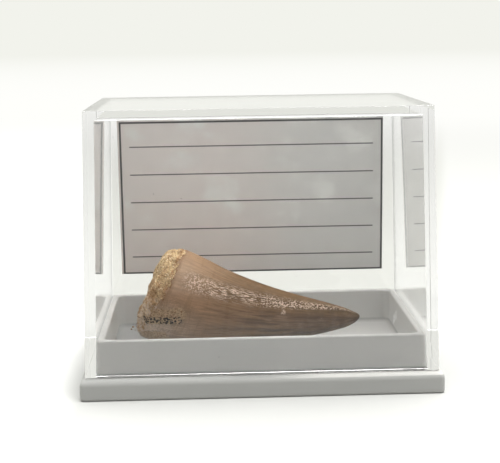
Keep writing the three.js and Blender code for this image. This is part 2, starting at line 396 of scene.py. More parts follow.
def plastic_grey():
    """Pale grey satin plastic: worn rims and dust, painted shade on the plinth and ledge, painted light
    on the tray's floor, a painted dark tick and a painted highlight on the tray's inner wall.
    """
    material, field = new_material("base_grey_plastic")
    place = field.add("ShaderNodeTexCoord", "Object").in_mm()
    grain = place.noise(9.0, 3.0)
    cloud = place.noise(0.12, 3.0)
    across, back, height = (place.part(index) for index in range(3))
    specks = place.cells(1.1).step(0.1, 0.05) * place.noise(0.35).step(0.5, 0.62)
    ledge_level, floor_level = 1000 * PLINTH_HEIGHT, 1000 * TRAY_FLOOR
    # Painted shade: the plinth and its ledge are darker copies of the same grey, and the ledge grows
    # darker to the right.
    ledge_shade = across.step(LEDGE_SHADE_START, LEDGE_SHADE_END).mix(LEDGE_SHADE_LEFT, LEDGE_SHADE_RIGHT)
    colour = height.step(ledge_level - 0.7, ledge_level - 0.1).mix(PLINTH_SHADED_GREY, ledge_shade)
    colour = height.step(ledge_level + 0.05, ledge_level + 0.6).mix(colour, GREY)
    colour = colour.lit(0.96 + 0.08 * cloud)
    worn = height.band(tray_rim * 1000, 0.35) * place.noise(0.8, 4.0).step(0.35, 0.7)
    colour = (0.6 * worn).mix(colour, GREY_WORN_AND_LIT)
    colour = (0.35 * specks).mix(colour, GREY_DUSTY)
    # Painted light: the tray's floor is made paler towards the right, with the same pale grey as the worn
    # rim.
    floor_painted_light = height.step(floor_level + 0.9, floor_level + 0.1)
    floor_painted_light = floor_painted_light * height.step(floor_level - 0.3, floor_level - 0.1)
    floor_painted_light = floor_painted_light * across.step(FLOOR_LIGHT_START, FLOOR_LIGHT_END)
    colour = (0.55 * floor_painted_light).mix(colour, GREY_WORN_AND_LIT)
    # Painted shade: a dark tick on the ledge at the front left, where the lid's corner shows dark.
    colour = (0.7 * place.near(SHADE_TICK_PLACE, SHADE_TICK_REACH)).mix(colour, TICK_SHADE_DARK)
    # Painted highlight: a small near-white slanted mark on the tray's right inner wall, where a glint
    # shows.
    highlight_x, highlight_y, highlight_z = HIGHLIGHT_PLACE
    highlight = (back - highlight_y) * HIGHLIGHT_SLOPE + (height - highlight_z)
    highlight = highlight.band(0.0, HIGHLIGHT_HALF_WIDTH).step(0.1, 0.5)
    highlight = highlight * across.step(highlight_x - 1.2, highlight_x - 0.6)
    highlight = highlight * back.band(highlight_y, HIGHLIGHT_REACH).step(0.1, 0.5)
    highlight = highlight * across.step(highlight_x + 0.5, highlight_x + 0.3)
    highlight = highlight * place.noise(1.6, 3.0).step(0.42, 0.5)
    colour = highlight.mix(colour, HIGHLIGHT_PALE)
    bump = field.add("ShaderNodeBump", sockets={"Height": grain, "Strength": 0.12, "Distance": 0.00002})
    shader = field.add("ShaderNodeBsdfPrincipled", sockets={
        "Base Color": colour, "Roughness": 0.34 + 0.16 * cloud, "IOR": 1.5,
        "Specular IOR Level": 0.2, "Normal": bump})
    field.add("ShaderNodeOutputMaterial", sockets={"Surface": shader})
    return material


tray_foot = lid_inset(PLINTH_HEIGHT) + LID_WALL + LID_TRAY_GAP
tray_outer = lid_inset(tray_rim) + LID_WALL + LID_TRAY_GAP
tray_inner = tray_outer + TRAY_WALL
recess_side = SKIRT_WALL + RECESS_FILLET
recess_turn = RECESS_HEIGHT - RECESS_FILLET
base_profile = [
    *rounded(recess_side, recess_turn, RECESS_FILLET, 90, 180, RECESS_CORNER),
    (SKIRT_WALL, 0, RECESS_CORNER),
    *rounded(FOOT_EDGE, FOOT_EDGE, FOOT_EDGE, -90, -180, PLINTH_CORNER),
    *rounded(PLINTH_EDGE, PLINTH_HEIGHT - PLINTH_EDGE, PLINTH_EDGE, 180, 90, PLINTH_CORNER),
    (tray_foot, PLINTH_HEIGHT, TRAY_OUTER_CORNER),
    *rounded(tray_outer + TRAY_EDGE, tray_rim - TRAY_EDGE, TRAY_EDGE, 180, 90, TRAY_OUTER_CORNER),
    *rounded(tray_inner - TRAY_EDGE, tray_rim - TRAY_EDGE, TRAY_EDGE, 90, 0, TRAY_INNER_CORNER),
    *rounded(tray_inner + TRAY_FILLET, TRAY_FLOOR + TRAY_FILLET, TRAY_FILLET, 180, 270,
             TRAY_INNER_CORNER),
]
base_maker = bmesh.new()
loft(base_maker, [outline(*station) for station in base_profile])
base = new_piece("display_base", base_maker, plastic_grey())
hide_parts("base")
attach(base, "root")


# Lid
# A cover moulded in clear plastic, with a little draft so that it leaves its mould.
# It drops over the tray, stands on the plinth's ledge and lifts off by hand.
LID_ROOF = 0.0015
LID_EDGE = 0.00006
LID_FILLET = 0.0001
LID_CORNER = 0.00012
LID_INNER_CORNER = 0.00006
LID_FOOT_EDGE = 0.00006
LID_TINT = (0.885, 0.885, 0.885)
LID_TINT_DENSITY = 20.0
DUST_GREY = (0.3, 0.3, 0.31)
DUST_SPECKS = (
    ((-23.6, -13.0, 45.6), 0.22),
    ((-26.4, -18.2, 42.5), 0.16),
    ((-26.1, -18.2, 42.45), 0.18),
)

lid_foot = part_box("lid")[0].z
lid_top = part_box("lid")[1].z


def plastic_clear():
    """Clear plastic, seen through, with a few specks of dust."""
    material, field = new_material("lid_clear_plastic")
    place = field.add("ShaderNodeTexCoord", "Object").in_mm()
    dust = 0.5 * place.cells(0.32).step(0.035, 0.015) * place.noise(0.3).step(0.5, 0.52)
    for speck, reach in DUST_SPECKS:
        dust = dust.math("MAXIMUM", 0.8 * place.near(speck, reach))
    plastic = field.add("ShaderNodeBsdfPrincipled", sockets={
        "Base Color": (1, 1, 1, 1), "Roughness": 0.0, "IOR": 1.5, "Transmission Weight": 1.0})
    powder = field.add("ShaderNodeBsdfDiffuse", sockets={"Color": (*DUST_GREY, 1)})
    shader = field.add("ShaderNodeMixShader", sockets={0: dust, 1: plastic, 2: powder})
    tint = field.add("ShaderNodeVolumeAbsorption", sockets={
        "Color": (*LID_TINT, 1), "Density": LID_TINT_DENSITY})
    field.add("ShaderNodeOutputMaterial", sockets={"Surface": shader, "Volume": tint})
    return material


ceiling = lid_top - LID_ROOF
inner_top = lid_inset(ceiling) + LID_WALL
foot_inner = lid_inset(lid_foot) + LID_WALL
foot_outer = lid_inset(lid_foot)
lid_profile = [
    *rounded(inner_top + LID_FILLET, ceiling - LID_FILLET, LID_FILLET, 90, 180, LID_INNER_CORNER),
    *rounded(foot_inner - LID_FOOT_EDGE, lid_foot + LID_FOOT_EDGE, LID_FOOT_EDGE, 0, -90,
             LID_INNER_CORNER),
    *rounded(foot_outer + LID_FOOT_EDGE, lid_foot + LID_FOOT_EDGE, LID_FOOT_EDGE, -90, -180,
             LID_CORNER),
    *rounded(lid_inset(lid_top) + LID_EDGE, lid_top - LID_EDGE, LID_EDGE, 180, 90, LID_CORNER),
]
lid_maker = bmesh.new()
loft(lid_maker, [outline(*station) for station in lid_profile])
lid = new_piece("clear_lid", lid_maker, plastic_clear())
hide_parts("lid")
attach(lid, "root")


# Label
# A paper card with a printed border and ruled lines.
# It stands slightly waved inside the lid's back wall, held there by a film of glue.
CARD_WIDTH = 0.0484
CARD_HEIGHT = 0.0285
CARD_THICKNESS = 0.00025
CARD_COLUMNS = 96
CARD_ROWS = 56
CARD_WAVE = 0.00006
BLANK_SPOT = (-0.01, 0.01)
BORDER_LEFT = 0.0005
BORDER_RIGHT = 0.0482
BORDER_LOW = 0.00013
BORDER_HIGH = 0.02803
BORDER_WIDTH = 0.00034
RULE_WIDTH = 0.00022
RULE_PITCH = 0.0051
RULE_TOP = 0.0236
RULE_COUNT = 5
RULE_MARGIN = 0.0016
PAPER_GREY = (0.76, 0.75, 0.72)
PAPER_ROSE = (0.83, 0.775, 0.735)
PAPER_PALE = (0.9, 0.9, 0.86)
PRINT_BLACK = (0.016, 0.015, 0.014)
ROSE_START = 16.0
ROSE_END = 38.0
BLOTCHES = (((-6.3, 29.3), 3.2), ((12.1, 28.0), 3.8))

card_low, card_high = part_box("label")


def card_point(across, up, depth):
    """A point of the slightly waved card, from its lower left corner; depth 0 is its back face."""
    wave = math.sin(across * 160 + 0.7) * math.sin(up * 130)
    wave += 0.5 * math.sin(across * 310 + up * 90)
    free = math.sin(math.pi * min(1, up / CARD_HEIGHT))
    back = card_high.y - up * math.sin(DRAFT) - CARD_WAVE * (wave + 1.5) * free
    return Vector((card_low.x + across, back - depth, card_low.z + up * math.cos(DRAFT)))


def paper_printed():
    """Matt paper, rose to grey across it and cloudy with pale patches, with a thin black border and ruled
    lines.
    """
    material, field = new_material("label_paper")
    spot = field.add("ShaderNodeUVMap", uv_map="card").in_mm()
    across, up = spot.part(0), spot.part(1)
    border = None
    for value, place, low, high, other in (
        (across, BORDER_LEFT, BORDER_LOW, BORDER_HIGH, up),
        (across, BORDER_RIGHT, BORDER_LOW, BORDER_HIGH, up),
        (up, BORDER_LOW, BORDER_LEFT, BORDER_RIGHT, across),
        (up, BORDER_HIGH, BORDER_LEFT, BORDER_RIGHT, across),
    ):
        line = (value - 1000 * place).math("ABSOLUTE").step(600 * BORDER_WIDTH, 400 * BORDER_WIDTH)
        middle, reach = 500 * (low + high), 500 * (high - low) + 500 * BORDER_WIDTH
        line = line * (other - middle).math("ABSOLUTE").step(reach + 0.04, reach - 0.04)
        border = line if border is None else border.math("MAXIMUM", line)
    from_top = 1000 * RULE_TOP - up
    nearest = (from_top * (0.001 / RULE_PITCH)).math("ROUND")
    nearest = nearest.math("MAXIMUM", 0.0).math("MINIMUM", RULE_COUNT - 1.0)
    from_rule = (from_top - 1000 * RULE_PITCH * nearest).math("ABSOLUTE")
    from_middle = (across - 500 * (BORDER_LEFT + BORDER_RIGHT)).math("ABSOLUTE")
    half_run = 500 * (BORDER_RIGHT - BORDER_LEFT) - 1000 * RULE_MARGIN
    rule = from_rule.step(600 * RULE_WIDTH, 400 * RULE_WIDTH)
    rule = rule * from_middle.step(half_run + 0.05, half_run - 0.05)
    ink = border.math("MAXIMUM", 0.9 * rule) * (1.0 - 0.2 * spot.noise(6.0, 2.0))
    cloud = spot.noise(0.11, 4.0, 0.55)
    paper = across.step(ROSE_START, ROSE_END).mix(PAPER_ROSE, PAPER_GREY)
    paper = (cloud.step(0.5, 0.72) * up.step(4.0, 12.0)).mix(paper, PAPER_PALE)
    for (blotch_x, blotch_z), reach in BLOTCHES:
        middle = (blotch_x - 1000 * card_low.x, blotch_z - 1000 * card_low.z, 0.0)
        paper = (0.5 * spot.near(middle, reach) * cloud.step(0.35, 0.6)).mix(paper, PAPER_PALE)
    fibre = spot.noise(7.0, 3.0)
    paper = paper.lit(0.9 + 0.06 * fibre + 0.14 * spot.noise(0.3, 4.0, 0.6))
    bump = field.add("ShaderNodeBump", sockets={"Height": fibre, "Strength": 0.25, "Distance": 0.00003})
    shader = field.add("ShaderNodeBsdfPrincipled", sockets={
        "Base Color": ink.mix(paper, PRINT_BLACK), "Roughness": 0.92 - 0.3 * ink, "IOR": 1.45,
        "Normal": bump})
    field.add("ShaderNodeOutputMaterial", sockets={"Surface": shader})
    return material


card_maker = bmesh.new()
card_uv = card_maker.loops.layers.uv.new("card")
card_steps = [(CARD_WIDTH * i / CARD_COLUMNS, CARD_HEIGHT * j / CARD_ROWS)
              for j in range(CARD_ROWS + 1) for i in range(CARD_COLUMNS + 1)]
row_length = CARD_COLUMNS + 1
sheets = [[card_maker.verts.new(card_point(s, t, depth)) for s, t in card_steps]
          for depth in (0.0, CARD_THICKNESS)]
# Only the front lies on the printed part of the card's layout; its back and edges lie beside it.
for side, sheet in enumerate(sheets):
    for j in range(CARD_ROWS):
        for i in range(CARD_COLUMNS):
            corner = j * row_length + i
            spots = [corner, corner + 1, corner + 1 + row_length, corner + row_length]
            face = card_maker.faces.new([sheet[k] for k in spots])
            for loop, k in zip(face.loops, spots):
                s, t = card_steps[k]
                loop[card_uv].uv = (s, t) if side else (-CARD_WIDTH - s, t)
edge = list(range(CARD_COLUMNS))
edge += [CARD_COLUMNS + j * row_length for j in range(CARD_ROWS)]
edge += [CARD_ROWS * row_length + i for i in range(CARD_COLUMNS, 0, -1)]
edge += [j * row_length for j in range(CARD_ROWS, 0, -1)]
for a, b in zip(edge, edge[1:] + edge[:1]):
    face = card_maker.faces.new([sheets[0][a], sheets[0][b], sheets[1][b], sheets[1][a]])
    for loop in face.loops:
        loop[card_uv].uv = BLANK_SPOT
label = new_piece("paper_label", card_maker, paper_printed())
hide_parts("label")
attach(label, "root")


# Tooth
# One natural piece: a curved crown of glossy brown enamel, finely striped along its length, with
# the worn and sandy remnant of its root at the broken end. It lies on the tray's floor.
UPPER_EDGE = np.array([
    (-15.3, 20.15), (-12.7, 20.2), (-9.3, 18.65), (-4.9, 16.3), (0.5, 13.95),
    (6, 12), (11.2, 10.45), (15.2, 9.15), (17.1, 8.25)]) / 1000
LOWER_EDGE = np.array([
    (-20.55, 5.35), (-18.2, 4.55), (-14.2, 3.8), (-8.2, 3.45), (-1.6, 3.45),
    (4.8, 3.75), (10.4, 4.5), (14.9, 5.4), (16.9, 6.15)]) / 1000
TIP = np.array((18.08, 7.38)) / 1000
TOOTH_DEPTH_PLACE = 0.0016
TOOTH_SIDEWAYS_BEND = 0.0013
TOOTH_FLATNESS = 0.8
TIP_FLATNESS = 0.95
EDGE_RIDGE = 0.00016
EDGE_RIDGE_WIDTH = 0.16
FACET_DEPTH = 0.00009
FACET_COUNT = 9
ROOT_REACH_TOP = 1.12
ROOT_REACH_SIDE = 0.66
ROOT_REACH_LOW = 0.12
ROOT_WAVE = 0.06
ROOT_FADE_IN = 0.34
ROOT_FADE_OUT = 0.28
ROOT_SUNK = 0.00016
LUMP_HEIGHT = 0.00022
END_BULGE = 0.0014
END_TILT = 0.35
END_HOLLOW = 0.0012
HOLLOW_REACH = 0.45
CRACK_HEIGHT = 0.0092
CRACK_HALF_WIDTH = 0.00055
CRACK_START = -0.02
CRACK_END = -0.0126
CRACK_FADE = 0.001
CRACK_DEPTH = 0.00016
WRAP_RADIUS = 6.0
WRAP_STEP = 4.6
WRAP_END = 8.0
TOOTH_SIDES = 300
END_RINGS = 56
FINE_RINGS = 110
CROWN_RINGS = 130
TIP_RINGS = 12
FINE_STATIONS = 2.0
LAST_STATION = len(UPPER_EDGE) - 1
RELIEF = {
    "Ragged Scale": 0.75,
    "Ragged Reach": 1.7,
    "Sand Scale": 2.2,
    "Sand Height": 0.0002,
    "Pit Scale": 2.0,
    "Pit Depth": 0.00018,
    "Streak Relief": 0.0001,
    "Seed": 3.7,
}
CRACKLE_HEIGHT = 0.54
CRACKLE_WIDTH = 0.29
CHIP_PLACE = (4.35, 0.0, 9.5)
CHIP_REACH = 0.55
BODY_LOW = (0.197, 0.105, 0.042)
BODY_BROWN = (0.25, 0.143, 0.078)
TAN = (0.385, 0.24, 0.138)
OLIVE = (0.155, 0.086, 0.035)
ROSE = (0.42, 0.255, 0.155)
ROSE_GREY = (0.3, 0.19, 0.12)
FOOT_PALE = (0.62, 0.485, 0.36)
BALD_PALE = (0.74, 0.59, 0.45)
PALE_ROSE = (0.86, 0.66, 0.52)
RIM_RUST = (0.36, 0.17, 0.07)
HAIR_BROWN = (0.05, 0.027, 0.014)
CREAM = (0.73, 0.55, 0.32)
OCHRE_BROWN = (0.47, 0.28, 0.135)
SMEAR_BROWN = (0.54, 0.375, 0.225)
RUST_BROWN = (0.2, 0.085, 0.028)
PIT_BROWN = (0.15, 0.07, 0.03)
STREAK_DARK = (0.03, 0.013, 0.006)


def smoothstep(values, low, high):
    """0 below low and 1 above high, with a smooth rise between."""
    share = np.clip((values - low) / (high - low), 0, 1)
    return share * share * (3 - 2 * share)


def curve_point(points, station):
    """A point of the smooth curve through evenly numbered points."""
    index = min(int(station), len(points) - 2)
    t = station - index
    p0, p1 = points[max(index - 1, 0)], points[index]
    p2, p3 = points[index + 1], points[min(index + 2, len(points) - 1)]
    start, end = (p2 - p0) / 2, (p3 - p1) / 2
    cube = 2 * p1 - 2 * p2 + start + end
    square = 3 * p2 - 3 * p1 - 2 * start - end
    return cube * t ** 3 + square * t ** 2 + start * t + p1


def section_frame(station):
    """The middle of the section at a station, half its height as a vector, and half its thickness."""
    along = station / LAST_STATION
    upper, lower = curve_point(UPPER_EDGE, station), curve_point(LOWER_EDGE, station)
    middle, half = (upper + lower) / 2, (upper - lower) / 2
    centre = np.array((middle[0], TOOTH_DEPTH_PLACE + TOOTH_SIDEWAYS_BEND * along ** 2, middle[1]))
    flatness = TOOTH_FLATNESS + (TIP_FLATNESS - TOOTH_FLATNESS) * along ** 3
    return centre, np.array((half[0], 0, half[1])), np.hypot(*half) * flatness


around = np.arange(TOOTH_SIDES) * 2 * np.pi / TOOTH_SIDES
tooth_up, tooth_front = np.sin(around), -np.cos(around)


def root_reach():
    """The station that the rough root band reaches, at each angle round the tooth."""
    reach = ROOT_REACH_SIDE + (ROOT_REACH_TOP - ROOT_REACH_SIDE) * np.maximum(tooth_up, 0)
    low_front = smoothstep(tooth_front, -0.2, 0.3) * smoothstep(-tooth_up, 0.08, 0.4)
    return reach + (ROOT_REACH_LOW - reach) * low_front + ROOT_WAVE * np.sin(5 * around)


def lumps(points):
    """Rounded lumps of two sizes on the root."""
    x, y, z = points.T * 1000
    broad = np.sin(1.3 * x + 1.1 * y + 0.4 * z) * np.sin(1.2 * z - 1.3 * y + 0.6)
    small = np.sin(2.3 * y + 1.4 * z) * np.sin(2.2 * x - 1.5 * z + 1.1)
    return LUMP_HEIGHT * (broad + 0.7 * small)


def crack_mask(points, centre_y):
    """Where the shallow crack runs along the front of the crown's foot."""
    x, y, z = points.T
    along = smoothstep(x, CRACK_START, CRACK_START + CRACK_FADE)
    along *= 1 - smoothstep(x, CRACK_END - CRACK_FADE, CRACK_END)
    return along * np.exp(-((z - CRACK_HEIGHT) / CRACK_HALF_WIDTH) ** 2) * (y < centre_y)


def crown_relief(station):
    """Height of the crown's low facets and its two cutting edges."""
    to_edge = np.arccos(np.minimum(1, np.abs(tooth_up)))
    ridge = EDGE_RIDGE * np.exp(-(to_edge / EDGE_RIDGE_WIDTH) ** 2)
    ridge = ridge * (1 - station / LAST_STATION) ** 0.5
    facets = -FACET_DEPTH * np.abs(np.sin(FACET_COUNT * around / 2))
    return ridge + facets * smoothstep(np.float64(station), 1.5, 4)


def tooth_ring(station, share=1.0):
    """One ring of the tooth at a share of its size, with where it is rough root and where cracked."""
    centre, up, thick = section_frame(station)
    spokes = np.outer(tooth_up, up)
    spokes[:, 1] -= thick * tooth_front
    skin = centre + spokes
    reach = root_reach()
    root = 1 - smoothstep(np.full_like(around, station), reach - ROOT_FADE_IN, reach + ROOT_FADE_OUT)
    crack = crack_mask(skin, centre[1])
    relief = crown_relief(station) * (1 - root) + (lumps(skin) - ROOT_SUNK) * root
    relief -= CRACK_DEPTH * crack
    length = np.linalg.norm(spokes, axis=1)
    points = centre + spokes * ((length + relief) / length * share)[:, None]
    return points, root, crack


# The broken end from its middle outwards, then the root and crown, then the rounded tip
tooth_rows = []
for step in range(1, END_RINGS):
    share = math.sin(step / END_RINGS * math.pi / 2)
    points, root, crack = tooth_ring(0.0, share)
    up = section_frame(0.0)[1]
    outwards = np.array((-up[2], 0, up[0])) / np.linalg.norm(up)
    dome = END_BULGE * (1 - share ** 4) * (1 - END_TILT * share * tooth_up)
    hollow = END_HOLLOW * math.exp(-(share / HOLLOW_REACH) ** 2)
    push = dome - hollow + lumps(points) * (1 - share ** 6)
    points = points + push[:, None] * outwards
    root = np.maximum(root, 1 - smoothstep(share, 0.8, 0.99))
    tooth_rows.append((points, root, crack * share ** 8, -WRAP_END * (1 - share)))
stations = np.concatenate([
    np.linspace(0, FINE_STATIONS, FINE_RINGS, endpoint=False),
    np.linspace(FINE_STATIONS, LAST_STATION, CROWN_RINGS)])
for station in stations:
    points, root, crack = tooth_ring(station)
    tooth_rows.append((points, root, crack, WRAP_STEP * station))
tip_centre = section_frame(LAST_STATION)[0]
tip_reach = np.array((TIP[0] - tip_centre[0], 0, TIP[1] - tip_centre[2]))
for step in range(1, TIP_RINGS):
    turn = step / TIP_RINGS * math.pi / 2
    points, root, crack = tooth_ring(LAST_STATION, math.cos(turn))
    points = points + tip_reach * math.sin(turn) ** 2
    tooth_rows.append((points, root, crack, WRAP_STEP * LAST_STATION + math.sin(turn)))

tooth_maker = bmesh.new()
loft(tooth_maker, [[Vector(p) for p in row[0]] for row in tooth_rows],
     Vector(tooth_rows[0][0].mean(0)), Vector(tip_centre + tip_reach))


def enamel_and_root():
    """Glossy striped enamel with a crackled pale flank that is partly a painted highlight, and a rough,
    sandy ochre root.
    """
    material, field = new_material("tooth_fossil")
    wrap = field.add("ShaderNodeAttribute", "Vector", attribute_name="wrap")
    rough, root, pits, crack = (field.add("ShaderNodeAttribute", "Fac", attribute_name=name)
                                for name in ("rough", "root", "pits", "crack"))
    place = field.add("ShaderNodeTexCoord", "Object").in_mm()
    along, high = wrap.part(0), wrap.part(2) * (1 / WRAP_RADIUS)
    front = wrap.part(1) * (-1 / WRAP_RADIUS)
    side, level = place.part(0), place.part(2)

    # Enamel: darker below and towards the tip, paler at the foot, with fine stripes along it
    stripes = wrap.stretched(0.16, 1.6, 1.6).noise(1.3, 5.0, 0.65)
    fine_stripes = wrap.stretched(0.3, 3.4, 3.4).noise(1.1, 3.0, 0.65)
    tip_waves = wrap.stretched(0.13, 0.75, 0.75).noise(1.5, 4.0, 0.6, 0.3)
    growth = wrap.stretched(0.6, 0.1, 0.1).noise(1.2, 4.0, 0.6, 0.8)
    mottle = place.noise(0.5, 4.0, 0.6)

    body = high.step(-0.9, 0.15).mix(BODY_LOW, BODY_BROWN)
    body = body.lit(1.55 - 1.09 * along.step(8.0, 30.0))
    upper = along.step(5.0, 19.0).mix(TAN, OLIVE).lit(1.0 - 0.36 * along.step(22.0, 32.0))
    enamel = high.step(0.1, 0.75).mix(body, upper)
    foot = along.step(16.0, 4.0)
    enamel = (0.75 * foot * high.step(1.0, 0.4)).mix(enamel, ROSE)
    enamel = (0.9 * along.step(14.0, 2.0) * high.step(0.2, -0.5)).mix(enamel, FOOT_PALE)
    enamel = (0.35 * mottle.step(0.45, 0.7)).mix(enamel, ROSE_GREY)
    upper_foot = along.step(12.0, 4.0) * high.step(0.1, 0.4) * high.step(0.95, 0.7)
    enamel = (0.28 * upper_foot).mix(enamel, FOOT_PALE)
    enamel = (0.25 * growth.step(0.5, 0.66)).mix(enamel, BODY_LOW)
    streaks = 0.45 * stripes + 1.5 * fine_stripes - 0.975
    enamel = enamel.lit(1.0 + (0.4 + 0.6 * along.step(3.0, 13.0)) * streaks)
    waves = tip_waves.step(0.5, 0.6) * along.step(12.0, 20.0) * high.step(0.5, 0.1)
    enamel = (0.5 * waves).mix(enamel, HAIR_BROWN)

    # The crackled pale band along the near flank, partly pale crazing and partly a painted highlight, and
    # the chip below it
    from_foot = along - 10.0
    glint_band = high - (0.0008 * from_foot * from_foot + CRACKLE_HEIGHT)
    glint_band = (glint_band * (1.0 + 0.9 * along.step(18.0, 36.0))).band(0.0, CRACKLE_WIDTH)
    glint_band = glint_band * front.step(-0.1, 0.3) * along.step(5.0, 9.0) * along.step(37.5, 28.0)
    enamel = enamel.lit(1.0 - 0.2 * glint_band)
    streaky = wrap.stretched(0.3, 1.6, 1.6).noise(3.7, 2.0, 0.7)
    dotted = place.stretched(0.7, 1.0, 1.0).noise(4.2, 2.0, 0.7)
    dotty = along.step(16.0, 21.0) + along.step(13.0, 10.0)
    flakes = (streaky + dotty * (dotted - streaky)).step(0.48, 0.58)
    patches = wrap.stretched(0.45, 0.3, 0.3).noise(1.5, 3.0, 0.6).step(0.22, 0.48)
    # Painted highlight: the pale flakes stand partly for light caught by the crackled enamel and partly
    # for its pale crazing.
    glint = (1.4 * glint_band).math("MINIMUM", 1.0) * flakes * patches
    enamel = (glint * (0.82 - 0.3 * along.step(26.0, 35.0))).mix(enamel, PALE_ROSE)
    chip = place.stretched(1.0, 0.0, 1.0).near(CHIP_PLACE, CHIP_REACH) * front.step(0.0, 0.2)
    enamel = (0.55 * chip * dotted.step(0.44, 0.56)).mix(enamel, PALE_ROSE)
    # Painted highlight: a broken tan line along the upper cutting edge near the tip, where the edge
    # catches light.
    edge_highlight = high.step(0.86, 0.99) * along.step(20.0, 32.0) * stripes.step(0.4, 0.6)
    enamel = (0.4 * edge_highlight).mix(enamel, TAN)

    # Root: sandy, cream above and ochre below, with rust stains, pits and a rusty rim
    sand = place.noise(3.4, 3.0, 0.8)
    stain = place.noise(0.4, 3.0, 0.6)
    ochre = (high + 1.6 * (stain - 0.5)).step(-0.1, 0.75).mix(OCHRE_BROWN, CREAM)
    bald = high.step(0.15, -0.1) * place.noise(0.7, 4.0, 0.65).step(0.38, 0.52)
    ochre = (0.9 * bald).mix(ochre, BALD_PALE)
    rust = place.noise(1.9, 4.0, 0.75).step(0.52, 0.6) * (0.45 + 0.55 * high.step(-0.3, 0.3))
    ochre = (0.7 * rust).mix(ochre, RUST_BROWN)
    ochre = (0.5 * pits).mix(ochre, PIT_BROWN)
    rusty = root.band(0.8, 0.3) * high.step(0.0, 0.3) * place.noise(0.9, 3.0, 0.6).step(0.34, 0.5)
    ochre = (0.75 * rusty).mix(ochre, RIM_RUST)
    ochre = ochre.lit(0.06 + 1.75 * sand)

    # Where the root meets the enamel: a dark line, a smear of sandy rock and grit
    rim_line = rough.step(0.0, 0.3) * rough.step(1.0, 0.6) + 0.5 * root.band(0.3, 0.3)
    rim_line = rim_line * high.step(-0.3, 0.0) * sand.step(0.36, 0.5)
    smear = level.band(10.3, 1.9) * side.step(-11.4, -13.4)
    smear = smear + side.step(-14.5, -17.0) * level.step(8.0, 6.0)
    crumbly = place.noise(2.2, 4.0, 0.75)
    smear = (smear * (1.0 - rough) + 1.3 * (crumbly - 0.5)).step(0.3, 0.5) * smear.step(0.02, 0.3)
    smear_tone = place.noise(3.3, 3.0, 0.7).step(0.36, 0.54).mix(RUST_BROWN, SMEAR_BROWN)
    enamel = (0.85 * smear).mix(enamel, smear_tone)
    gritty = along.step(15.0, 4.0) * high.step(0.4, -0.1)
    enamel = enamel.lit(1.04 + 1.9 * gritty * (sand - 0.5))

    # The dark cracked streak, then everything laid together
    speckle = place.noise(3.0, 3.0, 0.75)
    dots = place.cells(2.4).step(0.56, 0.44)
    streak = dots.mix(SMEAR_BROWN, STREAK_DARK)
    colour = (0.8 * rim_line).mix(rough.mix(enamel, ochre), RUST_BROWN)
    colour = (crack + 1.2 * (0.5 - speckle)).step(0.2, 0.36).mix(colour, streak)

    relief = 0.5 * stripes + 0.35 * fine_stripes - 0.4 * waves + 0.7 * glint
    relief = relief + 1.4 * rough * sand + 0.8 * smear * sand + crack * speckle
    bump = field.add("ShaderNodeBump", sockets={"Height": relief, "Strength": 0.6, "Distance": 0.00007})
    dull = rough.math("MAXIMUM", crack).math("MAXIMUM", 0.6 * smear)
    roughness = 0.38 + 0.2 * fine_stripes - 0.18 * glint
    roughness = roughness + dull * (0.95 - roughness)
    shader = field.add("ShaderNodeBsdfPrincipled", sockets={
        "Base Color": colour, "Roughness": roughness, "IOR": 1.5, "Specular IOR Level": 0.2,
        "Normal": bump})
    field.add("ShaderNodeOutputMaterial", sockets={"Surface": shader})
    return material


def new_tree(name, values):
    """A Geometry Nodes tree from mesh to mesh, a field to build it with, and its inputs as fields."""
    tree = bpy.data.node_groups.new(name, "GeometryNodeTree")
    for in_out in ("INPUT", "OUTPUT"):
        tree.interface.new_socket("Mesh", in_out=in_out, socket_type="NodeSocketGeometry")
    for key, value in values.items():
        kind = "NodeSocketInt" if isinstance(value, int) else "NodeSocketFloat"
        tree.interface.new_socket(key, in_out="INPUT", socket_type=kind).default_value = value
    entry = tree.nodes.new("NodeGroupInput")
    given = {socket.name: Field(tree, socket) for socket in entry.outputs if socket.name}
    return tree, Field(tree), given


def relief_tree():
    """Ragged edge, lumps and pits of the root and the cracked streak, moved along the normals."""
    tree, field, given = new_tree("root_relief", RELIEF)
    root, crack = (
        field.add("GeometryNodeInputNamedAttribute", sockets={"Name": name}, data_type="FLOAT")
        for name in ("root", "crack"))
    place = field.add("GeometryNodeInputPosition").in_mm()
    shift = field.add("ShaderNodeCombineXYZ", sockets=dict.fromkeys(range(3), given["Seed"]))
    place = place.add("ShaderNodeVectorMath", sockets={0: place, 1: shift}, operation="ADD")
    edge = place.noise(given["Ragged Scale"], 5.0, 0.7) - 0.5
    rough = (root + 2.0 * given["Ragged Reach"] * edge * root.band(0.5, 0.5)).step(0.4, 0.6)
    sand = place.noise(given["Sand Scale"], 3.0, 0.6) - 0.5
    pits = place.cells(given["Pit Scale"]).step(0.42, 0.12) * place.noise(0.9, 2.0).step(0.4, 0.55)
    push = rough * (2.0 * given["Sand Height"] * sand - given["Pit Depth"] * pits)
    push = push + crack * given["Streak Relief"] * (3.0 * sand - 0.6)
    normal = field.add("GeometryNodeInputNormal")
    offset = normal.add("ShaderNodeVectorMath", sockets={0: normal, "Scale": push}, operation="SCALE")
    moved = field.add("GeometryNodeSetPosition", sockets={0: given["Mesh"], "Offset": offset})
    for name, value in (("rough", rough), ("pits", rough * pits)):
        moved = field.add("GeometryNodeStoreNamedAttribute", data_type="FLOAT", domain="POINT",
                          sockets={"Geometry": moved, "Name": name, "Value": value})
    moved = field.add("GeometryNodeRealizeInstances", sockets={0: moved})
    moved = field.add("GeometryNodeSetMaterial", sockets={0: moved, "Material": enamel_and_root()})
    field.add("NodeGroupOutput", sockets={0: moved})
    return tree


